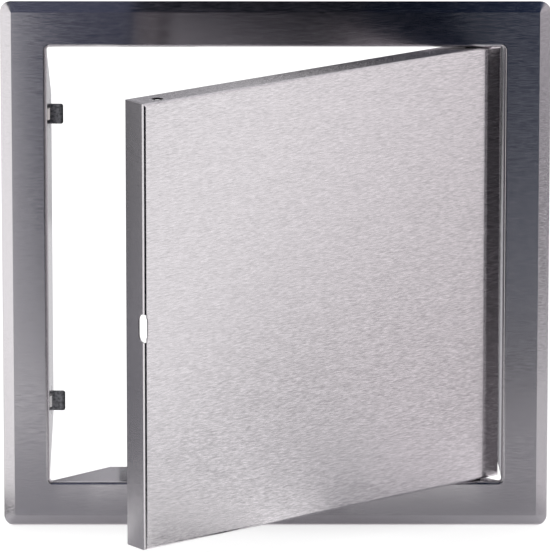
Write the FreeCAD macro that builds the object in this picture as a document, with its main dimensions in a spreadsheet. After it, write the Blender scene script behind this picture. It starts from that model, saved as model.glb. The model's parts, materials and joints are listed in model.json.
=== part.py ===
import FreeCAD, Part
import math
import os
import re

import Sketcher

# Hinged stainless-steel access panel: a one-piece frame whose trim lies on the wall and whose
# four flanges line the cut-out, and a pan-shaped door that turns on two pins.
# X is to the right, Y goes into the wall, Z is up, in millimetres.
# The origin is the middle of the opening on the wall's surface.

DIMENSIONS = {
    # frame
    "opening_width": 305.0,
    "opening_height": 300.0,
    "trim_width": 31.0,
    "bevel_width": 7.3,
    "bevel_drop": 1.4,
    "trim_corner": 7.4,
    "bevel_corner": 0.1,
    "rim_land": 1.0,
    "sheet": 1.2,
    "opening_corner": 2.0,
    "throat_bend": 2.4,
    "lip_depth": 3.6,
    "throat_depth": 38.0,
    "taper_length": 40.0,
    "hinge_taper": 6.0,
    "side_lean": 3.0,
    "flange_overlap": 0.4,
    # door
    "free_gap": 2.4,
    "hinge_gap": 2.8,
    "level_gap": 0.8,
    "pan_depth": 19.5,
    "door_bend": 2.0,
    "seam": 0.3,
    "finger_slot_height": 19.0,
    "finger_slot_width": 9.6,
    "finger_slot_shift": 1.8,
    "door_angle": 38.0,
    # hinge pins, spacers and clips
    "pivot_inset": 17.2,
    "pivot_setback": 8.5,
    "pivot_hole": 6.4,
    "pin_diameter": 6.25,
    "pin_head": 11.0,
    "pin_head_height": 1.8,
    "pin_head_edge": 0.5,
    "pin_groove": 4.8,
    "pin_groove_width": 0.8,
    "pin_groove_drop": 3.5,
    "pin_length": 6.4,
    "pin_point": 0.6,
    "spacer_diameter": 12.0,
    "spacer_hole": 6.6,
    "spacer_clearance": 0.1,
    "clip_diameter": 9.6,
    "clip_bore": 5.0,
    "clip_thickness": 0.7,
    "clip_mouth": 4.2,
    "clip_relief": 1.6,
    "clip_relief_place": 2.0,
    # catches on the left flange
    "catch_rise": 99.4,
    "catch_shift": 0.8,
    "bracket_sheet": 1.0,
    "bracket_height": 19.0,
    "bracket_front": 0.5,
    "bracket_foot": 22.0,
    "bracket_back": 31.0,
    "bracket_joggle": 2.5,
    "bracket_bend": 0.8,
    "cover_room": 2.2,
    "stop_height": 13.6,
    "stop_reach": 9.3,
    "stop_place": 16.8,
    "stop_corner": 1.5,
    "slit_height": 19.5,
    "slit_clearance": 0.2,
    "spring_sheet": 0.5,
    "spring_height": 7.6,
    "spring_rise": 1.8,
    "spring_crest": 1.5,
    "spring_slope": 28.0,
    "spring_middle": 8.9,
    "spring_foot": 1.8,
    "spring_bend": 2.0,
    "window_clearance": 0.4,
    "rivet_place": 26.5,
    "rivet_diameter": 3.2,
    "rivet_hole": 3.3,
    "rivet_head": 6.0,
    "rivet_head_height": 1.2,
    "rivet_tail": 5.2,
    "rivet_tail_height": 1.4,
}

TOLERANCE = 0.01

doc = FreeCAD.newDocument("access_panel")
sheet = doc.addObject("Spreadsheet::Sheet", "dims")
for row, (alias, value) in enumerate(DIMENSIONS.items(), start=1):
    sheet.set("A%d" % row, alias)
    sheet.set("B%d" % row, str(value))
    sheet.setAlias("B%d" % row, alias)
doc.recompute()


# Lengths that follow from the driving dimensions, written as formulas of the sheet's names
FACE = "(bevel_drop + sheet)"
TRIM_WIDE = "(opening_width + 2 * trim_width)"
TRIM_TALL = "(opening_height + 2 * trim_width)"
LIP_BACK = "(lip_depth - %s)" % FACE
THROAT_BACK = "(throat_depth - %s)" % FACE
DOOR_TALL = "(opening_height - 2 * level_gap)"
FREE_EDGE = "(pivot_inset + hinge_gap + free_gap - opening_width)"
PIVOT_X = "(opening_width / 2 - hinge_gap - pivot_inset)"
PIVOT_Y = "(pivot_setback - %s)" % FACE
SPRING_RUN = "((spring_crest + sheet) / tan(spring_slope))"
CATCH_LEVELS = {"top": "catch_shift + catch_rise", "bottom": "catch_shift - catch_rise"}


def expression(text):
    """The text as a formula on the sheet: each dimension gets the sheet's name before its own."""
    return re.sub(r"[a-z_]+", lambda word: "dims." + word[0] if word[0] in DIMENSIONS else word[0], text)


def number(text):
    return float(sheet.evalExpression(expression(text)))


def new_body(label):
    body = doc.addObject("PartDesign::Body", label)
    body.Label = label
    return body


def sketch_on(body, name, role, height="0", along="0", lean=0):
    """A sketch on one of the body's origin planes, lifted by height, moved along its own x
    and leaning by the side flanges' angle about its own y axis, to one side or the other."""
    plane = [feature for feature in body.Origin.OriginFeatures if feature.Role == role][0]
    sketch = body.newObject("Sketcher::SketchObject", name)
    sketch.AttachmentSupport = (plane, [""])
    sketch.MapMode = "FlatFace"
    if lean:
        sketch.AttachmentOffset = FreeCAD.Placement(
            FreeCAD.Vector(), FreeCAD.Rotation(FreeCAD.Vector(0, lean, 0), number("side_lean")))
        sketch.setExpression("AttachmentOffset.Rotation.Angle", expression("side_lean"))
    sketch.setExpression("AttachmentOffset.Base.x", expression(along))
    sketch.setExpression("AttachmentOffset.Base.z", expression(height))
    return sketch


def bind(sketch, text, kind, *where):
    """A constraint whose value is a formula of the sheet."""
    index = sketch.addConstraint(Sketcher.Constraint(kind, *where, number(text)))
    sketch.setExpression("Constraints[%d]" % index, expression(text))


def point_at(sketch, geometry, end, x, y):
    bind(sketch, x, "DistanceX", -1, 1, geometry, end)
    bind(sketch, y, "DistanceY", -1, 1, geometry, end)


def polygon(sketch, corners):
    """A closed outline of straight lines through corners given as pairs of formulas."""
    points = [FreeCAD.Vector(number(x), number(y), 0) for x, y in corners]
    first = sketch.GeometryCount
    count = len(points)
    for index, start in enumerate(points):
        sketch.addGeometry(Part.LineSegment(start, points[(index + 1) % count]), False)
    for index, (x, y) in enumerate(corners):
        following = first + (index + 1) % count
        sketch.addConstraint(Sketcher.Constraint("Coincident", first + index, 2, following, 1))
        point_at(sketch, first + index, 1, x, y)


def rectangle(sketch, left, right, bottom, top):
    polygon(sketch, [(left, bottom), (right, bottom), (right, top), (left, top)])


def circle(sketch, x, y, diameter):
    centre = FreeCAD.Vector(number(x), number(y), 0)
    up = FreeCAD.Vector(0, 0, 1)
    index = sketch.addGeometry(Part.Circle(centre, up, number(diameter) / 2), False)
    point_at(sketch, index, 3, x, y)
    bind(sketch, diameter, "Diameter", index)


def arc(centre, radius, start, end):
    """An arc between two angles, counted in quarter turns."""
    full = Part.Circle(centre, FreeCAD.Vector(0, 0, 1), radius)
    return Part.ArcOfCircle(full, start * math.pi / 2, end * math.pi / 2)


def rounded_rectangle(sketch, width, height, radius):
    """A rectangle about the sketch's origin with four equal round corners."""
    half_width = number(width) / 2
    half_height = number(height) / 2
    corner = number(radius)
    signs = [(1, 1), (-1, 1), (-1, -1), (1, -1)]
    arcs = []
    for quarter, (side, level) in enumerate(signs):
        centre = FreeCAD.Vector(side * (half_width - corner), level * (half_height - corner), 0)
        arcs.append(sketch.addGeometry(arc(centre, corner, quarter, quarter + 1), False))
    lines = []
    for quarter in range(4):
        start = sketch.getPoint(arcs[quarter], 2)
        end = sketch.getPoint(arcs[(quarter + 1) % 4], 1)
        lines.append(sketch.addGeometry(Part.LineSegment(start, end), False))
    for quarter in range(4):
        following = arcs[(quarter + 1) % 4]
        sketch.addConstraint(Sketcher.Constraint("Tangent", arcs[quarter], 2, lines[quarter], 1))
        sketch.addConstraint(Sketcher.Constraint("Tangent", lines[quarter], 2, following, 1))
        if quarter:
            sketch.addConstraint(Sketcher.Constraint("Equal", arcs[0], arcs[quarter]))
    bind(sketch, radius, "Radius", arcs[0])
    top, left, bottom, right = lines
    bind(sketch, "%s / 2" % height, "DistanceY", -1, 1, top, 1)
    bind(sketch, "-%s / 2" % width, "DistanceX", -1, 1, left, 1)
    bind(sketch, "-%s / 2" % height, "DistanceY", -1, 1, bottom, 1)
    bind(sketch, "%s / 2" % width, "DistanceX", -1, 1, right, 1)
    for level in (top, bottom):
        sketch.addConstraint(Sketcher.Constraint("Horizontal", level))


def upright_slot(sketch, x, y, width, height):
    """A slot with round ends, its long way up."""
    middle = FreeCAD.Vector(number(x), number(y), 0)
    radius = number(width) / 2
    rise = FreeCAD.Vector(0, number(height) / 2 - radius, 0)
    upper = sketch.addGeometry(arc(middle + rise, radius, 0, 2), False)
    lower = sketch.addGeometry(arc(middle - rise, radius, 2, 4), False)
    joins = [(upper, lower), (lower, upper)]
    for before, after in joins:
        start = sketch.getPoint(before, 2)
        side = sketch.addGeometry(Part.LineSegment(start, sketch.getPoint(after, 1)), False)
        sketch.addConstraint(Sketcher.Constraint("Tangent", before, 2, side, 1))
        sketch.addConstraint(Sketcher.Constraint("Tangent", side, 2, after, 1))
    point_at(sketch, upper, 3, x, "%s + (%s - %s) / 2" % (y, height, width))
    point_at(sketch, lower, 3, x, "%s - (%s - %s) / 2" % (y, height, width))
    bind(sketch, "%s / 2" % width, "Radius", upper)


def pad(body, sketch, length, reverse=False, both_ways=False):
    feature = body.newObject("PartDesign::Pad", sketch.Name + "_pad")
    feature.Profile = sketch
    feature.setExpression("Length", expression(length))
    feature.Reversed = reverse
    if both_ways:
        feature.SideType = "Symmetric"
    doc.recompute()
    return feature


def pocket(body, sketch, length=None, reverse=False, both_ways=False):
    """A cut by the given length, or right through where none is given."""
    before = body.Shape.Volume
    feature = body.newObject("PartDesign::Pocket", sketch.Name + "_cut")
    feature.Profile = sketch
    feature.Reversed = reverse
    if both_ways:
        feature.SideType = "Two sides"
        feature.Type2 = "ThroughAll"
    if length:
        feature.setExpression("Length", expression(length))
    else:
        feature.Type = "ThroughAll"
    doc.recompute()
    assert body.Shape.Volume < before - TOLERANCE, "%s cuts nothing" % feature.Name
    return feature


def loft(body, kind, profile, section):
    feature = body.newObject("PartDesign::%sLoft" % kind, profile.Name + "_loft")
    feature.Profile = profile
    feature.Sections = [section]
    feature.Ruled = True
    doc.recompute()
    return feature


def revolve(body, sketch):
    axis = [feature for feature in body.Origin.OriginFeatures if feature.Role == "Z_Axis"][0]
    feature = body.newObject("PartDesign::Revolution", sketch.Name + "_turn")
    feature.Profile = sketch
    feature.ReferenceAxis = (axis, [""])
    feature.Angle = 360
    doc.recompute()
    return feature


def fillet(body, name, radius, keep):
    """Rounds the edges whose ends and middle all pass the test keep."""
    base = body.Tip
    chosen = []
    for index, edge in enumerate(base.Shape.Edges, start=1):
        middle = edge.valueAt((edge.FirstParameter + edge.LastParameter) / 2)
        if all(keep(point) for point in [vertex.Point for vertex in edge.Vertexes] + [middle]):
            chosen.append("Edge%d" % index)
    feature = body.newObject("PartDesign::Fillet", name)
    feature.Base = (base, chosen)
    feature.setExpression("Radius", expression(radius))
    doc.recompute()
    return feature


def close_to(value, text):
    return abs(value - number(text)) < TOLERANCE


def place(body, x, y, z, turn="0", upside_down=False):
    """Puts the body's origin at a point, turned about the upright axis."""
    if upside_down:
        body.Placement = FreeCAD.Placement(FreeCAD.Vector(), FreeCAD.Rotation(FreeCAD.Vector(1, 0, 0), 180))
    else:
        body.Placement = FreeCAD.Placement(
            FreeCAD.Vector(), FreeCAD.Rotation(FreeCAD.Vector(0, 0, 1), number(turn)))
        body.setExpression("Placement.Rotation.Angle", expression(turn))
    for letter, text in zip("xyz", (x, y, z)):
        body.setExpression("Placement.Base.%s" % letter, expression(text))


# Frame: trim with a bevelled rim, rolled into the opening, and four flanges with tapered ends


def trim_with_bevel(body):
    rim = sketch_on(body, "rim", "XZ_Plane")
    rounded_rectangle(rim, TRIM_WIDE, TRIM_TALL, "trim_corner")
    pad(body, rim, "sheet")
    bevel_foot = sketch_on(body, "bevel_foot", "XZ_Plane", "sheet")
    rounded_rectangle(bevel_foot, TRIM_WIDE, TRIM_TALL, "trim_corner")
    bevel_top = sketch_on(body, "bevel_top", "XZ_Plane", FACE)
    rounded_rectangle(
        bevel_top, "(%s - 2 * bevel_width)" % TRIM_WIDE, "(%s - 2 * bevel_width)" % TRIM_TALL, "bevel_corner")
    loft(body, "Additive", bevel_foot, bevel_top)
    hollow_foot = sketch_on(body, "hollow_foot", "XZ_Plane")
    rounded_rectangle(
        hollow_foot, "(%s - 2 * rim_land)" % TRIM_WIDE, "(%s - 2 * rim_land)" % TRIM_TALL,
        "trim_corner - rim_land")
    hollow_top = sketch_on(body, "hollow_top", "XZ_Plane", "bevel_drop")
    rounded_rectangle(
        hollow_top, "(%s - 2 * (rim_land + bevel_width))" % TRIM_WIDE,
        "(%s - 2 * (rim_land + bevel_width))" % TRIM_TALL, "bevel_corner")
    loft(body, "Subtractive", hollow_foot, hollow_top)


def rolled_lip(body):
    lip = sketch_on(body, "lip", "XZ_Plane", FACE)
    rounded_rectangle(
        lip, "(opening_width + 2 * sheet)", "(opening_height + 2 * sheet)", "opening_corner + sheet")
    pad(body, lip, "lip_depth", reverse=True)
    opening = sketch_on(body, "opening", "XZ_Plane", FACE)
    rounded_rectangle(opening, "opening_width", "opening_height", "opening_corner")
    pocket(body, opening)
    half_width = number("opening_width / 2 + sheet")
    half_height = number("opening_height / 2 + sheet")

    def round_opening(point, depth):
        beside = abs(point.x) < half_width + TOLERANCE and abs(point.z) < half_height + TOLERANCE
        return beside and close_to(point.y, depth)

    fillet(body, "bend_inside", "throat_bend - sheet", lambda point: round_opening(point, "-bevel_drop"))
    fillet(body, "bend_outside", "throat_bend", lambda point: round_opening(point, "-" + FACE))


def flange_outline(start, back, span, taper):
    """A flange as deep as the throat, with its two ends tapering to the corners."""
    outer = "(%s / 2 - opening_corner)" % span
    inner = "(%s / 2 - %s)" % (span, taper)
    return [(start, "-" + outer), (back, "-" + inner), (back, inner), (start, outer)]


def throat_flanges(body):
    for name, level, down in (("top_flange", "opening_height / 2", False),
                              ("bottom_flange", "-opening_height / 2", True)):
        flange = sketch_on(body, name, "XY_Plane", level)
        corners = flange_outline(LIP_BACK + " - flange_overlap", THROAT_BACK, "opening_width", "taper_length")
        polygon(flange, [(across, depth) for depth, across in corners])
        pad(body, flange, "sheet", reverse=down)
    back = "(%s - %s) / cos(side_lean)" % (THROAT_BACK, LIP_BACK)
    for name, side, lean, taper, outward in (("left_flange", "-opening_width / 2", -1, "taper_length", True),
                                             ("right_flange", "opening_width / 2", 1, "hinge_taper", False)):
        flange = sketch_on(body, name, "YZ_Plane", side, LIP_BACK, lean)
        polygon(flange, flange_outline("-flange_overlap", back, "opening_height", taper))
        pad(body, flange, "sheet", reverse=outward)


def catch_cut_outs(body):
    """In the left flange: two slits for the stops, two spring windows and two rivet holes."""
    cuts = sketch_on(body, "catch_cuts", "YZ_Plane", "-opening_width / 2", LIP_BACK, -1)
    half_window = SPRING_RUN + " + window_clearance"
    for level in CATCH_LEVELS.values():
        rectangle(
            cuts, "stop_place - slit_clearance", "stop_place + bracket_sheet + slit_clearance",
            level + " - slit_height / 2", level + " + slit_height / 2")
        rectangle(
            cuts, "spring_middle - (%s)" % half_window, "spring_middle + %s" % half_window,
            level + " + spring_rise - spring_height / 2 - window_clearance",
            level + " + spring_rise + spring_height / 2 + window_clearance")
        circle(cuts, "rivet_place", level, "rivet_hole")
    pocket(body, cuts, "2 * sheet")


def pin_holes(body):
    holes = sketch_on(body, "pin_holes", "XY_Plane")
    circle(holes, PIVOT_X, PIVOT_Y, "pivot_hole")
    pocket(body, holes, both_ways=True)


def make_frame():
    body = new_body("frame")
    trim_with_bevel(body)
    rolled_lip(body)
    throat_flanges(body)
    catch_cut_outs(body)
    pin_holes(body)
    return body


# Door: a shallow pan of folded sheet, drawn about its pivot axis with its face towards -Y


def pan(body):
    face = sketch_on(body, "face", "XZ_Plane", "pivot_setback")
    rectangle(face, FREE_EDGE, "pivot_inset", "-%s / 2" % DOOR_TALL, "%s / 2" % DOOR_TALL)
    pad(body, face, "pan_depth", reverse=True)
    fillet(body, "face_bends", "door_bend", lambda point: close_to(point.y, "-pivot_setback"))
    inside = sketch_on(body, "inside", "XZ_Plane", "pivot_setback - sheet")
    rectangle(
        inside, FREE_EDGE + " + sheet", "pivot_inset - sheet",
        "sheet - %s / 2" % DOOR_TALL, "%s / 2 - sheet" % DOOR_TALL)
    pocket(body, inside)
    fillet(body, "inner_bends", "door_bend - sheet", lambda point: close_to(point.y, "sheet - pivot_setback"))


def corner_seams(body):
    """Upper and lower flanges butt against the full-height side flanges with a fine seam."""
    seams = sketch_on(body, "seams", "XZ_Plane", "pivot_setback - door_bend")
    edge = "%s / 2" % DOOR_TALL
    for left, right in ((FREE_EDGE + " + sheet", FREE_EDGE + " + sheet + seam"),
                        ("pivot_inset - sheet - seam", "pivot_inset - sheet")):
        rectangle(seams, left, right, edge + " - sheet - seam", edge + " + seam")
        rectangle(seams, left, right, "-%s - seam" % edge, "sheet + seam - " + edge)
    pocket(body, seams)


def finger_slot(body):
    """One slot folded over the free edge: partly in the flange, partly in the face."""
    in_flange = sketch_on(body, "slot_in_flange", "YZ_Plane", FREE_EDGE + " - sheet")
    upright_slot(
        in_flange, "finger_slot_shift - pivot_setback", "0", "finger_slot_width", "finger_slot_height")
    pocket(body, in_flange, "3 * sheet", reverse=True)
    in_face = sketch_on(body, "slot_in_face", "XZ_Plane", "pivot_setback + sheet")
    upright_slot(in_face, FREE_EDGE + " - finger_slot_shift", "0", "finger_slot_width", "finger_slot_height")
    pocket(body, in_face, "3 * sheet")


def pivot_holes(body):
    """Holes for the pins at the hinge side, and at the free side their mirror image in the frame."""
    holes = sketch_on(body, "pivot_holes", "XY_Plane")
    circle(holes, "0", "0", "pivot_hole")
    circle(holes, "-2 * " + PIVOT_X, "0", "pivot_hole")
    pocket(body, holes, both_ways=True)


def make_door():
    body = new_body("door_panel")
    pan(body)
    corner_seams(body)
    finger_slot(body)
    pivot_holes(body)
    place(body, PIVOT_X, PIVOT_Y, "0", "door_angle")
    return body


# Hinge: at the top and the bottom a headed pin, a spacer in the gap and a clip inside the pan


def make_pin(end, upside_down):
    body = new_body("hinge_pin_" + end)
    profile = sketch_on(body, "pin_profile_" + end, "XZ_Plane")
    shank = "pin_diameter / 2"
    groove = "pin_groove / 2"
    groove_end = "-pin_groove_drop - pin_groove_width"
    polygon(profile, [
        ("0", "pin_head_height"),
        ("pin_head / 2 - pin_head_edge", "pin_head_height"),
        ("pin_head / 2", "pin_head_height - pin_head_edge"),
        ("pin_head / 2", "0"),
        (shank, "0"),
        (shank, "-pin_groove_drop"),
        (groove, "-pin_groove_drop"),
        (groove, groove_end),
        (shank, groove_end),
        (shank, "pin_point - pin_length"),
        (shank + " - pin_point", "-pin_length"),
        ("0", "-pin_length"),
    ])
    revolve(body, profile)
    level = "opening_height / 2 + sheet"
    place(body, PIVOT_X, PIVOT_Y, "-(%s)" % level if upside_down else level, upside_down=upside_down)
    return body


def make_spacer(end, upside_down):
    body = new_body("hinge_spacer_" + end)
    ring = sketch_on(body, "spacer_ring_" + end, "XY_Plane")
    circle(ring, "0", "0", "spacer_diameter")
    circle(ring, "0", "0", "spacer_hole")
    pad(body, ring, "level_gap - 2 * spacer_clearance", both_ways=True)
    level = "(opening_height - level_gap) / 2"
    place(body, PIVOT_X, PIVOT_Y, "-" + level if upside_down else level, upside_down=upside_down)
    return body


def make_clip(end, upside_down):
    """An open retaining ring: three inner lobes grip the pin's groove."""
    body = new_body("hinge_clip_" + end)
    ring = sketch_on(body, "clip_ring_" + end, "XY_Plane")
    circle(ring, "0", "0", "clip_diameter")
    circle(ring, "0", "0", "clip_bore")
    pad(body, ring, "clip_thickness", both_ways=True)
    cuts = sketch_on(body, "clip_cuts_" + end, "XY_Plane")
    rectangle(cuts, "-clip_mouth / 2", "clip_mouth / 2", "-clip_diameter", "0")
    pocket(body, cuts, both_ways=True)
    reliefs = sketch_on(body, "clip_reliefs_" + end, "XY_Plane")
    for side in ("-", ""):
        circle(reliefs, side + "clip_relief_place", "clip_relief_place", "clip_relief")
    pocket(body, reliefs, both_ways=True)
    level = "(opening_height / 2 + sheet - pin_groove_drop - pin_groove_width / 2)"
    place(body, PIVOT_X, PIVOT_Y, "-" + level if upside_down else level, upside_down=upside_down)
    return body


# Catches: drawn flat on the left flange, x going back into the wall and y away from the opening


def place_on_left_flange(body, level):
    place(body, "-opening_width / 2", LIP_BACK, level, "90 - side_lean")


def make_bracket(end, level):
    """A bridge that covers the spring behind the flange, with a stop that reaches through a slit."""
    body = new_body("catch_bracket_" + end)
    outside = "sheet"
    foot_top = "sheet + bracket_sheet"
    cover = "sheet + cover_room"
    cover_top = "sheet + cover_room + bracket_sheet"
    bridge = sketch_on(body, "bridge_" + end, "XY_Plane")
    polygon(bridge, [
        ("bracket_front", outside),
        ("bracket_front", cover_top),
        ("bracket_foot - bracket_joggle + bracket_sheet / 2", cover_top),
        ("bracket_foot + bracket_sheet / 2", foot_top),
        ("bracket_back", foot_top),
        ("bracket_back", outside),
        ("bracket_foot", outside),
        ("bracket_foot - bracket_joggle", cover),
        ("bracket_front + bracket_sheet", cover),
        ("bracket_front + bracket_sheet", outside),
    ])
    pad(body, bridge, "bracket_height", both_ways=True)
    fillet(
        body, "bridge_bend_" + end, "bracket_bend",
        lambda point: close_to(point.x, "bracket_front") and close_to(point.y, cover_top))
    stop = sketch_on(body, "stop_" + end, "XY_Plane")
    rectangle(stop, "stop_place", "stop_place + bracket_sheet", "-stop_reach", cover_top)
    pad(body, stop, "stop_height", both_ways=True)
    fillet(
        body, "stop_corners_" + end, "stop_corner",
        lambda point: close_to(point.y, "-stop_reach") and close_to(abs(point.z), "stop_height / 2"))
    hole = sketch_on(body, "bracket_hole_" + end, "XZ_Plane")
    circle(hole, "rivet_place", "0", "rivet_hole")
    pocket(body, hole)
    place_on_left_flange(body, level)
    return body


def make_spring(end, level):
    """A leaf folded to a bead: its feet lie behind the flange, its crest stands in the gap."""
    body = new_body("catch_spring_" + end)
    leaf = sketch_on(body, "leaf_" + end, "XY_Plane")
    back = "sheet + spring_sheet"
    mitre = "spring_sheet * tan(spring_slope / 2)"
    front_fold = "spring_middle - %s" % SPRING_RUN
    rear_fold = "spring_middle + %s" % SPRING_RUN
    polygon(leaf, [
        (front_fold + " - spring_foot", "sheet"),
        (front_fold, "sheet"),
        ("spring_middle", "-spring_crest"),
        (rear_fold, "sheet"),
        (rear_fold + " + spring_foot", "sheet"),
        (rear_fold + " + spring_foot", back),
        ("%s - %s" % (rear_fold, mitre), back),
        ("spring_middle", "spring_sheet / cos(spring_slope) - spring_crest"),
        ("%s + %s" % (front_fold, mitre), back),
        (front_fold + " - spring_foot", back),
    ])
    pad(body, leaf, "spring_height", both_ways=True)
    fillet(
        body, "crest_" + end, "spring_bend",
        lambda point: close_to(point.x, "spring_middle") and close_to(point.y, "-spring_crest"))
    fillet(
        body, "crest_inside_" + end, "spring_bend - spring_sheet",
        lambda point: close_to(point.x, "spring_middle") and point.y > number("-spring_crest") + TOLERANCE)
    place_on_left_flange(body, level + " + spring_rise")
    return body


def make_rivet(end, level):
    """A round-headed rivet through flange and bracket, its head on the opening's side."""
    body = new_body("catch_rivet_" + end)
    shank_end = "sheet + bracket_sheet"
    radius = "rivet_diameter / 2"
    profile = sketch_on(body, "rivet_profile_" + end, "XZ_Plane")
    polygon(profile, [
        ("0", "-rivet_head_height"),
        ("rivet_head / 4", "-rivet_head_height"),
        ("rivet_head / 2", "-rivet_head_height / 3"),
        ("rivet_head / 2", "0"),
        (radius, "0"),
        (radius, shank_end),
        ("rivet_tail / 2", shank_end),
        ("rivet_tail / 2", shank_end + " + rivet_tail_height / 2"),
        (radius, shank_end + " + rivet_tail_height"),
        ("0", shank_end + " + rivet_tail_height"),
    ])
    revolve(body, profile)
    lean = FreeCAD.Rotation(FreeCAD.Vector(0, 0, 1), number("90 - side_lean"))
    lay_down = FreeCAD.Rotation(FreeCAD.Vector(1, 0, 0), -90)
    on_flange = FreeCAD.Placement(
        FreeCAD.Vector(number("-opening_width / 2"), number(LIP_BACK), number(level)), lean)
    at_place = FreeCAD.Placement(FreeCAD.Vector(number("rivet_place"), 0, 0), lay_down)
    body.Placement = on_flange.multiply(at_place)
    return body


pieces = [make_frame(), make_door()]
for end, upside_down in (("top", False), ("bottom", True)):
    for make in (make_pin, make_spacer, make_clip):
        pieces.append(make(end, upside_down))
for end, level in CATCH_LEVELS.items():
    for make in (make_bracket, make_spring, make_rivet):
        pieces.append(make(end, level))
doc.recompute()

failed = [item.Name for item in doc.Objects if {"Invalid", "Error"} & set(item.State)]
assert not failed, "failed objects: %s" % failed
for piece in pieces:
    shape = piece.Shape
    assert not shape.isNull() and shape.isValid(), "bad shape: %s" % piece.Label
    assert len(shape.Solids) == 1, "%s has %d solids" % (piece.Label, len(shape.Solids))

os.makedirs("parts", exist_ok=True)
for piece in pieces:
    piece.Shape.exportStep("parts/%s.step" % piece.Label)
    print(piece.Label, round(piece.Shape.Volume, 1), "mm3")
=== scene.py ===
import json
import math

import bpy
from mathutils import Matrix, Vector


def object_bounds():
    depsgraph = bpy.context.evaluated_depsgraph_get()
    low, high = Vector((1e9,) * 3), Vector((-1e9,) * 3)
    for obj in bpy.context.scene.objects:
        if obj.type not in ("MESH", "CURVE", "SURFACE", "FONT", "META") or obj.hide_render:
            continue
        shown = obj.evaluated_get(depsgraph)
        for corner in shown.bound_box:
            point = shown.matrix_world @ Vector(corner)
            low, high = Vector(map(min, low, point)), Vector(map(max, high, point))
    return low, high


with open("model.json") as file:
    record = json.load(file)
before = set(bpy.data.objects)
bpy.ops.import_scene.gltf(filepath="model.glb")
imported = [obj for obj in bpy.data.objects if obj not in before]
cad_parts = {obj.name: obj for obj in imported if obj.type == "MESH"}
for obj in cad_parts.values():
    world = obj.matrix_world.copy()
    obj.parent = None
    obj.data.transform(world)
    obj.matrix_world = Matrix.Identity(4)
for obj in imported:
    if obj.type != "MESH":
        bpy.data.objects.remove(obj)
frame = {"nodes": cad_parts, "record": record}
cad_low, cad_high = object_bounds()

MM = 0.001

# The picture is 550 pixels wide and 552 high, and the lens is a long one, well back from the panel.
IMAGE_WIDE = 550
SENSOR_WIDE = 36.0
FOCAL_PIXELS = 7333.0
CAMERA_DISTANCE = 4.925
CAMERA_ELEVATION = math.radians(13.868)
CAMERA_TARGET = Vector((-0.30, 0.0, -7.48)) * MM
CAMERA_SEES_TO = 50.0

# The door stands open at rest by the angle that closing it takes away.
hinge = next(j for j in frame["record"]["behaviour"]["joints"] if j["name"] == "door_hinge")
DOOR_OPEN = math.radians(-hinge["range_deg"][0])

# The round holes in the door's upper and lower flanges are one above the other.
spare_hole = next(m for m in frame["record"]["mounts"] if m["name"] == "spare_pivot_top")
HOLE_PLACE = (spare_hole["pos_m"][0], spare_hole["pos_m"][1], 0.0)
# Painted shade in and round these holes: full out to the first distance from their axis, gone by the
# second, and how dark it is.
HOLE_SHADE_REACH = (3.5 * MM, 4.1 * MM)
HOLE_PAINTED_SHADE = 0.08

# Nearly all of a noise texture's values lie in this span.
NOISE_LOW, NOISE_HIGH = 0.3, 0.7

# A face belongs to a side flange if it is turned this far towards the sheet's width. There the grain is
# fainter by SIDE_CALM.
SIDE_FACE = 0.8
SIDE_CALM = 0.65

# A lean of the upright smear, so that it has a direction on the level flanges too.
SMEAR_LEAN = 0.02

# How far a small metal piece's roughness goes up and down.
CLOUD_ROUGHNESS = 0.06


def linear(hex_colour):
    """An sRGB hex colour as linear red, green and blue, with full alpha."""
    parts = [int(hex_colour[start:start + 2], 16) / 255 for start in (1, 3, 5)]
    return tuple(p / 12.92 if p <= 0.04045 else ((p + 0.055) / 1.055) ** 2.4 for p in parts) + (1.0,)


def add(tree, kind, inputs=None, **settings):
    """Adds one node to a tree. Each input is a value, or another node's output to link."""
    made = tree.nodes.new(kind)
    for name, value in settings.items():
        setattr(made, name, value)
    for name, value in (inputs or {}).items():
        if isinstance(value, bpy.types.NodeSocket):
            tree.links.new(value, made.inputs[name])
        else:
            made.inputs[name].default_value = value
    return made


def new_material(name):
    """A material with nothing but its main shader. Returns the material, its tree and the shader."""
    material = bpy.data.materials.new(name)
    material.use_nodes = True
    tree = material.node_tree
    return material, tree, tree.nodes["Principled BSDF"]


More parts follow.
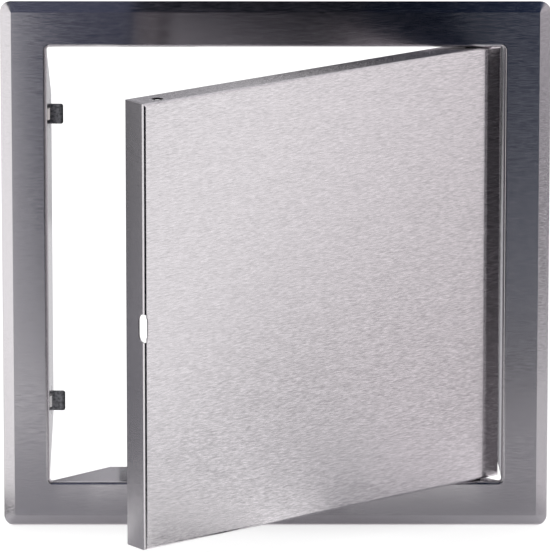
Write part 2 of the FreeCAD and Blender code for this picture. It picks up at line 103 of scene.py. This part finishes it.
def brushed_stainless(name, turn, streak_long, streak_across, contrast, depth, roughness):
    """Cold rolled stainless sheet, belt brushed along the panel's width.

    The fine parallel scratches stretch every reflection into an upright smear, and show as short
    light and dark streaks. turn is the angle of the sheet's width about the upright axis. A streak's
    length, width and depth are in millimetres. contrast is how far the grey goes up and down, and
    roughness is that of the smoothest and the roughest streaks.
    """
    material, tree, shader = new_material(name)
    places = add(tree, "ShaderNodeTexCoord")
    # Each streak is one unit of this space. Real scratches are about 0.05 mm wide, and are drawn
    # coarser so that they show.
    along = add(tree, "ShaderNodeMapping", {
        "Vector": places.outputs["Object"], "Rotation": (0, 0, turn),
        "Scale": (streak_long * MM, streak_across * MM, streak_across * MM)}, vector_type="TEXTURE")
    # The sheet's own grain goes round the upright bends, so on the side flanges it runs front to back.
    round_bend = add(tree, "ShaderNodeMapping", {
        "Vector": places.outputs["Object"], "Rotation": (0, 0, turn),
        "Scale": (streak_across * MM, streak_long * MM, streak_across * MM)}, vector_type="TEXTURE")
    facing = add(tree, "ShaderNodeMapping", {
        "Vector": places.outputs["Normal"], "Rotation": (0, 0, turn)}, vector_type="TEXTURE")
    sideways = add(tree, "ShaderNodeSeparateXYZ", {"Vector": facing.outputs[0]})
    to_side = add(tree, "ShaderNodeMath", {0: sideways.outputs["X"]}, operation="ABSOLUTE")
    on_side = add(tree, "ShaderNodeMath", {0: to_side.outputs[0], 1: SIDE_FACE}, operation="GREATER_THAN")
    grain_place = add(tree, "ShaderNodeMix", {
        "Factor": on_side.outputs[0], 4: along.outputs[0], 5: round_bend.outputs[0]}, data_type="VECTOR")
    streaks = add(tree, "ShaderNodeTexNoise", {
        "Vector": grain_place.outputs[1], "Scale": 1.0, "Detail": 1.0, "Roughness": 0.5})
    # The narrow side flanges were brushed more lightly.
    calm = add(tree, "ShaderNodeMath", {0: on_side.outputs[0], 1: SIDE_CALM}, operation="MULTIPLY")
    grain = add(tree, "ShaderNodeMix", {
        "Factor": calm.outputs[0], 2: streaks.outputs["Fac"], 3: 0.5}, data_type="FLOAT")

    # The streaks take the steel's grey a little up and down.
    shade = add(tree, "ShaderNodeMapRange", {
        "Value": grain.outputs[0], "From Min": NOISE_LOW, "From Max": NOISE_HIGH,
        "To Min": 1.0 - contrast, "To Max": 1.0 + contrast}, clamp=False)
    # Painted shade: the steel is darkened in and round the round holes, where they lie in shade.
    beside = add(tree, "ShaderNodeVectorMath", {
        0: places.outputs["Object"], 1: (1.0, 1.0, 0.0)}, operation="MULTIPLY")
    from_hole = add(tree, "ShaderNodeVectorMath", {
        0: beside.outputs[0], 1: HOLE_PLACE}, operation="DISTANCE")
    painted_hole_shade = add(tree, "ShaderNodeMapRange", {
        "Value": from_hole.outputs["Value"], "From Min": HOLE_SHADE_REACH[0], "From Max": HOLE_SHADE_REACH[1],
        "To Min": HOLE_PAINTED_SHADE, "To Max": 1.0})
    grey = add(tree, "ShaderNodeMath", {0: shade.outputs[0], 1: painted_hole_shade.outputs[0]}, operation="MULTIPLY")
    steel = add(tree, "ShaderNodeMix", {
        "Factor": 1.0, 6: linear("#d9d5d8"), 7: grey.outputs[0]}, data_type="RGBA", blend_type="MULTIPLY")
    tree.links.new(steel.outputs[2], shader.inputs["Base Color"])
    rough = add(tree, "ShaderNodeMapRange", {
        "Value": grain.outputs[0], "From Min": NOISE_LOW, "From Max": NOISE_HIGH,
        "To Min": roughness[0], "To Max": roughness[1]})
    tree.links.new(rough.outputs[0], shader.inputs["Roughness"])
    scratches = add(tree, "ShaderNodeBump", {
        "Height": grain.outputs[0], "Strength": 1.0, "Distance": depth * MM})
    tree.links.new(scratches.outputs[0], shader.inputs["Normal"])

    # Reflections spread across the scratches: upwards, or front to back on the level flanges.
    across = add(tree, "ShaderNodeVectorTransform", {
        "Vector": (-SMEAR_LEAN * math.sin(turn), SMEAR_LEAN * math.cos(turn), 1.0)},
        vector_type="VECTOR", convert_from="OBJECT", convert_to="WORLD")
    tree.links.new(across.outputs[0], shader.inputs["Tangent"])
    shader.inputs["Metallic"].default_value = 1.0
    shader.inputs["Anisotropic"].default_value = 1.0
    return material


def plain_metal(name, colour, rough, spot, contrast):
    """A small metal piece: cloudy roughness over patches of spot millimetres, and a hint of tint."""
    material, tree, shader = new_material(name)
    places = add(tree, "ShaderNodeTexCoord")
    cloud = add(tree, "ShaderNodeTexNoise", {
        "Vector": places.outputs["Object"], "Scale": 1.0 / (spot * MM), "Detail": 4.0})
    shade = add(tree, "ShaderNodeMapRange", {
        "Value": cloud.outputs["Fac"], "From Min": NOISE_LOW, "From Max": NOISE_HIGH,
        "To Min": 1.0 - contrast, "To Max": 1.0 + contrast}, clamp=False)
    tint = add(tree, "ShaderNodeMix", {
        "Factor": 1.0, 6: linear(colour), 7: shade.outputs[0]}, data_type="RGBA", blend_type="MULTIPLY")
    tree.links.new(tint.outputs[2], shader.inputs["Base Color"])
    dull = add(tree, "ShaderNodeMapRange", {
        "Value": cloud.outputs["Fac"], "From Min": NOISE_LOW, "From Max": NOISE_HIGH,
        "To Min": rough - CLOUD_ROUGHNESS, "To Max": rough + CLOUD_ROUGHNESS})
    tree.links.new(dull.outputs[0], shader.inputs["Roughness"])
    shader.inputs["Metallic"].default_value = 1.0
    return material


# The cover's mottle. Real patches are about 0.5 mm wide, and are drawn coarser so that they show.
MOTTLE_WIDE = 1.8 * MM
MOTTLE_LOW, MOTTLE_HIGH = 0.35, 0.65
PLATING_SHADES = (0.6, 1.5)
PLATING_ROUGHNESS = (0.32, 0.55)

# Painted shade along the cover's edges: where it begins and where it is full, as a share of the way to the
# cover's edge, and how dark it is there.
PAINTED_EDGE_SHADE_SPAN = (0.82, 0.95)
PAINTED_EDGE_SHADE = 0.25


def stamped_cover():
    """Zinc plated sheet, stamped: mottled dull grey, with painted shade darkening its ends and its right
    edge.
    """
    material, tree, shader = new_material("stamped zinc plated steel")
    places = add(tree, "ShaderNodeTexCoord")
    mottle = add(tree, "ShaderNodeTexNoise", {
        "Vector": places.outputs["Object"], "Scale": 1.0 / MOTTLE_WIDE, "Detail": 1.0})
    plating = add(tree, "ShaderNodeMapRange", {
        "Value": mottle.outputs["Fac"], "From Min": MOTTLE_LOW, "From Max": MOTTLE_HIGH,
        "To Min": PLATING_SHADES[0], "To Max": PLATING_SHADES[1]})
    # Generated coordinates run from 0 to 1 over each cover: upwards from its lower to its upper end, and
    # to the right up to the edge of the stop.
    box = add(tree, "ShaderNodeSeparateXYZ", {"Vector": places.outputs["Generated"]})
    from_middle = add(tree, "ShaderNodeMath", {0: box.outputs["Z"], 1: 0.5}, operation="SUBTRACT")
    from_ends = add(tree, "ShaderNodeMath", {0: from_middle.outputs[0]}, operation="ABSOLUTE")
    to_end = add(tree, "ShaderNodeMath", {0: from_ends.outputs[0], 1: 2.0}, operation="MULTIPLY")
    to_edge = add(tree, "ShaderNodeMath", {0: to_end.outputs[0], 1: box.outputs["X"]}, operation="MAXIMUM")
    # Painted shade: darker towards the cover's ends and its right edge.
    painted_edge_shade = add(tree, "ShaderNodeMapRange", {
        "Value": to_edge.outputs[0], "From Min": PAINTED_EDGE_SHADE_SPAN[0], "From Max": PAINTED_EDGE_SHADE_SPAN[1],
        "To Min": 1.0, "To Max": PAINTED_EDGE_SHADE})
    shade = add(tree, "ShaderNodeMath", {0: plating.outputs[0], 1: painted_edge_shade.outputs[0]}, operation="MULTIPLY")
    tint = add(tree, "ShaderNodeMix", {
        "Factor": 1.0, 6: linear("#8a8a8e"), 7: shade.outputs[0]}, data_type="RGBA", blend_type="MULTIPLY")
    tree.links.new(tint.outputs[2], shader.inputs["Base Color"])
    dull = add(tree, "ShaderNodeMapRange", {
        "Value": mottle.outputs["Fac"], "From Min": NOISE_LOW, "From Max": NOISE_HIGH,
        "To Min": PLATING_ROUGHNESS[0], "To Max": PLATING_ROUGHNESS[1]})
    tree.links.new(dull.outputs[0], shader.inputs["Roughness"])
    shader.inputs["Metallic"].default_value = 1.0
    return material


def moulded_nylon():
    """Carbon filled nylon 66, injection moulded: near black, with a fine dull skin."""
    material, tree, shader = new_material("moulded black nylon")
    places = add(tree, "ShaderNodeTexCoord")
    skin = add(tree, "ShaderNodeTexNoise", {
        "Vector": places.outputs["Object"], "Scale": 1.0 / (0.6 * MM), "Detail": 3.0})
    soot = add(tree, "ShaderNodeMix", {
        "Factor": skin.outputs["Fac"], 6: linear("#1d1d1f"), 7: linear("#2a2a2b")}, data_type="RGBA")
    tree.links.new(soot.outputs[2], shader.inputs["Base Color"])
    pores = add(tree, "ShaderNodeBump", {
        "Height": skin.outputs["Fac"], "Strength": 0.2, "Distance": 0.01 * MM})
    tree.links.new(pores.outputs[0], shader.inputs["Normal"])
    shader.inputs["Roughness"].default_value = 0.5
    shader.inputs["IOR"].default_value = 1.53
    return material


def finish_pieces():
    """Gives every CAD node its finish."""
    turned = plain_metal("turned stainless steel", "#c9c8c8", rough=0.28, spot=0.8, contrast=0.05)
    spring = plain_metal("bright rolled spring steel", "#d6d4d2", rough=0.18, spot=1.2, contrast=0.04)
    finishes = {
        "frame": brushed_stainless(
            "brushed stainless frame", turn=0.0, streak_long=7.0, streak_across=0.50,
            contrast=0.07, depth=0.00012, roughness=(0.147, 0.257)),
        "door_panel": brushed_stainless(
            "brushed stainless door", turn=DOOR_OPEN, streak_long=3.9, streak_across=0.40,
            contrast=0.21, depth=0.0002, roughness=(0.165, 0.255)),
        "hinge_pin": turned,
        "hinge_spacer": moulded_nylon(),
        "hinge_clip": spring,
        "catch_bracket": stamped_cover(),
        "catch_spring": spring,
        "catch_rivet": turned,
    }
    for name, piece in frame["nodes"].items():
        kind = name.removesuffix("_top").removesuffix("_bottom")
        piece.data.materials.clear()
        piece.data.materials.append(finishes[kind])


# Panels of the studio's cloth ring, by their bearing in degrees from straight in front, positive to the
# right, with how bright each looks in the steel.
RING_PANELS = [
    (-180, "#d8d8dc"), (-178.9, "#98989c"), (-176.4, "#98989c"), (-175.6, "#bcbcc0"), (-173.4, "#bcbcc0"),
    (-172, "#101014"), (-108, "#101014"), (-106, "#646469"), (-99, "#6c6c72"), (-94, "#ffffff"),
    (-21, "#ffffff"), (-17, "#1c2434"), (-9, "#4e5266"), (-3.5, "#484c5e"), (0, "#0a1426"),
    (5, "#020814"), (8, "#14203a"), (14, "#3c4a64"), (22, "#d0ccd0"), (36, "#d0ccd0"), (44, "#34343c"),
    (62, "#34343c"), (67, "#ffffff"), (70, "#ffffff"), (77, "#f6f2f4"), (140, "#ece8ea"),
    (168, "#d4d4d6"), (174, "#f0f0f2"),
]
RING_RADIUS = 1.6
RING_HEIGHT = 2.2
RING_STEPS = 90

# The floor is lit by the white sky and seen brighter than that, so that it is white with a faint shadow.
FLOOR_SPAN = (-6, 6)
FLOOR_COLOUR = "#c4c4c4"
FLOOR_LIFT = 0.655
CLOTH_RAISE = 1 * MM

# Cloths overhead: name, span along Y in metres, and colour.
ROOF_CLOTHS = [
    ("front roof", (-1.6, -0.4), "#14181f"),
    ("back roof", (-0.4, 1.6), "#e0e0e4"),
]

# Cloths on the floor: name, span along X and along Y in metres, and colour.
FLOOR_CLOTHS = [
    ("far left dark cloth", (-0.21, -0.09), (-1.6, -0.90), "#40424e"),
    ("far dark cloth", (-0.09, 0.03), (-1.6, -0.90), "#0e1626"),
    ("near left dark cloth", (-0.17, -0.09), (-0.90, -0.36), "#2a2c38"),
    ("near dark cloth", (-0.09, 0.03), (-0.90, -0.36), "#0e1626"),
    ("right dark cloth", (0.03, 0.155), (-1.6, -0.36), "#04080f"),
    ("right far cloth", (0.155, 0.32), (-1.6, -0.90), "#141c2c"),
    ("right middle cloth", (0.155, 0.32), (-0.90, -0.36), "#868a92"),
    ("left middle cloth", (-0.21, -0.17), (-0.90, -0.36), "#a0a0a4"),
    ("far left cloth", (-0.50, -0.21), (-1.6, -1.28), "#50545c"),
    ("right grey cloth", (0.32, 0.80), (-1.6, -0.44), "#6c6c72"),
    ("side near cloth", (0.34, 0.60), (-0.27, 0.05), "#ccc8ca"),
    ("side pale cloth", (0.60, 1.6), (-0.27, 0.05), "#dcd8da"),
    ("front left cloth", (-0.24, -0.13), (-0.24, -0.13), "#a4a4a8"),
    ("door foot cloth", (0.14, 0.155), (-0.27, -0.10), "#e8e8ea"),
    ("right foot cloth", (0.155, 0.20), (-0.27, -0.10), "#c2c2c6"),
    ("door side cloth", (0.20, 0.34), (-0.27, -0.10), "#e8e8ea"),
    ("hinge side cloth", (0.20, 0.34), (-0.10, 0.05), "#f4f0f4"),
    ("strip cloth", (-0.02, 0.05), (-0.20, -0.12), "#18181e"),
    ("middle dark cloth", (-0.12, 0.14), (-0.36, -0.25), "#141a26"),
    ("left foot cloth", (-0.26, -0.19), (-0.06, 0.12), "#2c2c32"),
    ("left near cloth", (-0.62, -0.26), (-0.20, 0.0), "#6c6c72"),
    ("left middle grey cloth", (-1.0, -0.62), (-0.20, 0.05), "#7c7c82"),
    ("left grey cloth", (-1.6, -1.0), (-0.20, 0.12), "#a8a8ae"),
    ("left near dark cloth", (-0.62, -0.26), (0.0, 0.12), "#1c1c22"),
    ("left middle dark cloth", (-1.0, -0.62), (0.05, 0.12), "#1c1c22"),
    ("left far cloth", (-1.6, -0.50), (0.12, 0.45), "#101014"),
    ("near left cloth", (-0.19, -0.15), (-0.13, -0.02), "#b0b0b4"),
    ("near grey cloth", (-0.15, 0.20), (-0.10, -0.02), "#b0b0b4"),
    ("foot cloth", (-0.19, 0.19), (-0.02, 0.0), "#dcdce0"),
    ("back pale cloth", (-0.50, 0.02), (0.12, 0.85), "#dcdcde"),
    ("back left cloth", (-0.50, -0.14), (0.85, 1.6), "#e8e8ea"),
    ("back middle cloth", (-0.14, -0.03), (0.85, 1.6), "#303034"),
    ("back near cloth", (-0.03, 0.02), (0.85, 1.6), "#e8e8ea"),
    ("back mid cloth", (0.02, 0.20), (0.05, 1.15), "#dcdce0"),
    ("back far cloth", (0.02, 0.20), (1.15, 1.6), "#b8b8bc"),
    ("back right cloth", (0.20, 1.6), (0.05, 1.6), "#d8d4d6"),
]

# Upright cards: name, the ends of the lower edge along X and Y, the levels of foot and top, and colour.
# The dark card is seen only by the strip beside the hinge and the upper bar. The low card stands edge on to
# what the door reflects, and is seen by the frame's lower right corner. The card at the back hangs behind
# the opening, where the upper bar sees it by way of the door's inner corner; it is painted shade, a dark
# sheet for the door's shadow. The card in the gap is close behind the right flange, and is seen only by the
# flange's back half, beside the door; it is painted shade, a dark sheet for the shade deep in the gap.
CARDS = [
    ("dark card", (-0.10, -0.25), (0.062, -0.25), (-0.18, 0.30), "#0c0e16"),
    ("low card", (0.15, -0.28), (0.42, -0.385), (-0.18, -0.115), "#68686c"),
    ("back shade card", (-0.108, 0.10), (-0.055, 0.10), (-0.12, 0.16), "#14141a"),
    ("gap shade card", (0.1474, 0.045), (0.175, 0.045), (-0.16, 0.15), "#08080c"),
]


def stage_piece(name, mesh, material):
    """Puts a piece of the studio in the scene. It isn't part of the object."""
    mesh.materials.append(material)
    piece = bpy.data.objects.new(name, mesh)
    bpy.context.collection.objects.link(piece)
    return piece


def only_in_reflections(piece):
    """The camera looks through this piece, and it casts no shadow on the object or the floor."""
    piece.visible_camera = False
    piece.visible_shadow = False
    piece.visible_diffuse = False


def glowing_cloth(name, colour):
    """Cloth that looks the same in the steel from every side."""
    material, tree, _ = new_material(name)
    glow = add(tree, "ShaderNodeEmission", {"Color": linear(colour), "Strength": 1.0})
    tree.links.new(glow.outputs[0], tree.nodes["Material Output"].inputs["Surface"])
    return material


def build_cards():
    """The upright cards round the panel."""
    for name, start, end, (foot, top), colour in CARDS:
        mesh = bpy.data.meshes.new(name)
        mesh.from_pydata(
            [(*start, foot), (*end, foot), (*end, top), (*start, top)], [], [(0, 1, 2, 3)])
        only_in_reflections(stage_piece(name, mesh, glowing_cloth(name + " cloth", colour)))


def build_roof(level):
    """Cloths stretched over the ring."""
    for name, (front, back), colour in ROOF_CLOTHS:
        mesh = bpy.data.meshes.new(name)
        mesh.from_pydata(
            [(-RING_RADIUS, front, level), (RING_RADIUS, front, level),
             (RING_RADIUS, back, level), (-RING_RADIUS, back, level)], [], [(0, 1, 2, 3)])
        only_in_reflections(stage_piece(name, mesh, glowing_cloth(name + " cloth", colour)))


def build_ring(floor_level):
    """The cloth ring round the panel, which gives the steel its dark and bright bands."""
    turns = [math.tau * i / RING_STEPS for i in range(RING_STEPS)]
    circle = [(RING_RADIUS * math.sin(turn), -RING_RADIUS * math.cos(turn)) for turn in turns]
    corners = [(x, y, z) for z in (floor_level, floor_level + RING_HEIGHT) for x, y in circle]
    walls = []
    for i in range(RING_STEPS):
        after = (i + 1) % RING_STEPS
        walls.append((i, after, RING_STEPS + after, RING_STEPS + i))
    mesh = bpy.data.meshes.new("cloth ring")
    mesh.from_pydata(corners, [], walls)
    material, tree, _ = new_material("studio cloth panels")
    places = add(tree, "ShaderNodeTexCoord")
    from_front = add(tree, "ShaderNodeMapping", {
        "Vector": places.outputs["Object"], "Rotation": (0, 0, math.radians(90))})
    bearing = add(tree, "ShaderNodeTexGradient", {"Vector": from_front.outputs[0]}, gradient_type="RADIAL")
    panels = add(tree, "ShaderNodeValToRGB", {"Fac": bearing.outputs["Fac"]})
    ramp = panels.color_ramp
    while len(ramp.elements) < len(RING_PANELS):
        ramp.elements.new(0.5)
    for element, (degrees, colour) in zip(ramp.elements, RING_PANELS):
        element.position = degrees / 360 + 0.5
        element.color = linear(colour)
    glow = add(tree, "ShaderNodeEmission", {"Color": panels.outputs["Color"], "Strength": 1.0})
    tree.links.new(glow.outputs[0], tree.nodes["Material Output"].inputs["Surface"])
    only_in_reflections(stage_piece("cloth ring", mesh, material))


def build_floor(name, x_span, y_span, level, colour, lift):
    """A level sheet. lift is how much brighter the camera and the metal see it than its light makes it."""
    mesh = bpy.data.meshes.new(name)
    corners = [(x, y, level) for x, y in ((x_span[0], y_span[0]), (x_span[1], y_span[0]),
                                          (x_span[1], y_span[1]), (x_span[0], y_span[1]))]
    mesh.from_pydata(corners, [], [(0, 1, 2, 3)])
    material, tree, shader = new_material(name + " cloth")
    shader.inputs["Base Color"].default_value = linear(colour)
    shader.inputs["Roughness"].default_value = 1.0
    shader.inputs["Specular IOR Level"].default_value = 0.0
    path = add(tree, "ShaderNodeLightPath")
    direct = add(tree, "ShaderNodeMath", {
        0: path.outputs["Is Camera Ray"], 1: path.outputs["Is Glossy Ray"]}, operation="MAXIMUM")
    seen = add(tree, "ShaderNodeMath", {
        0: direct.outputs[0], 1: path.outputs["Is Transmission Ray"]}, operation="MAXIMUM")
    glow = add(tree, "ShaderNodeMath", {0: seen.outputs[0], 1: lift}, operation="MULTIPLY")
    tree.links.new(glow.outputs[0], shader.inputs["Emission Strength"])
    shader.inputs["Emission Color"].default_value = (1, 1, 1, 1)
    return stage_piece(name, mesh, material)


def build_studio():
    """A pale floor under a white sky, with cloth that the steel reflects."""
    floor_level = cad_low.z
    build_floor("floor", FLOOR_SPAN, FLOOR_SPAN, floor_level, FLOOR_COLOUR, FLOOR_LIFT)
    for name, x_span, y_span, colour in FLOOR_CLOTHS:
        cloth = build_floor(name, x_span, y_span, floor_level + CLOTH_RAISE, colour, lift=0.0)
        only_in_reflections(cloth)
    build_ring(floor_level)
    build_roof(floor_level + RING_HEIGHT)
    build_cards()

    world = bpy.data.worlds.new("white studio")
    world.use_nodes = True
    world.node_tree.nodes["Background"].inputs["Color"].default_value = (1, 1, 1, 1)
    world.node_tree.nodes["Background"].inputs["Strength"].default_value = 1.0
    bpy.context.scene.world = world


def place_camera():
    """A long lens in front of the panel, a little above it."""
    data = bpy.data.cameras.new("camera")
    data.sensor_fit = "HORIZONTAL"
    data.sensor_width = SENSOR_WIDE
    data.lens = FOCAL_PIXELS * SENSOR_WIDE / IMAGE_WIDE
    data.clip_end = CAMERA_SEES_TO
    camera = bpy.data.objects.new("camera", data)
    bpy.context.collection.objects.link(camera)
    away = Vector((0.0, -math.cos(CAMERA_ELEVATION), math.sin(CAMERA_ELEVATION)))
    camera.location = CAMERA_TARGET + CAMERA_DISTANCE * away
    camera.rotation_euler = (-away).to_track_quat("-Z", "Y").to_euler()
    bpy.context.scene.camera = camera


finish_pieces()
build_studio()
place_camera()
bpy.context.scene.view_settings.view_transform = "Standard"
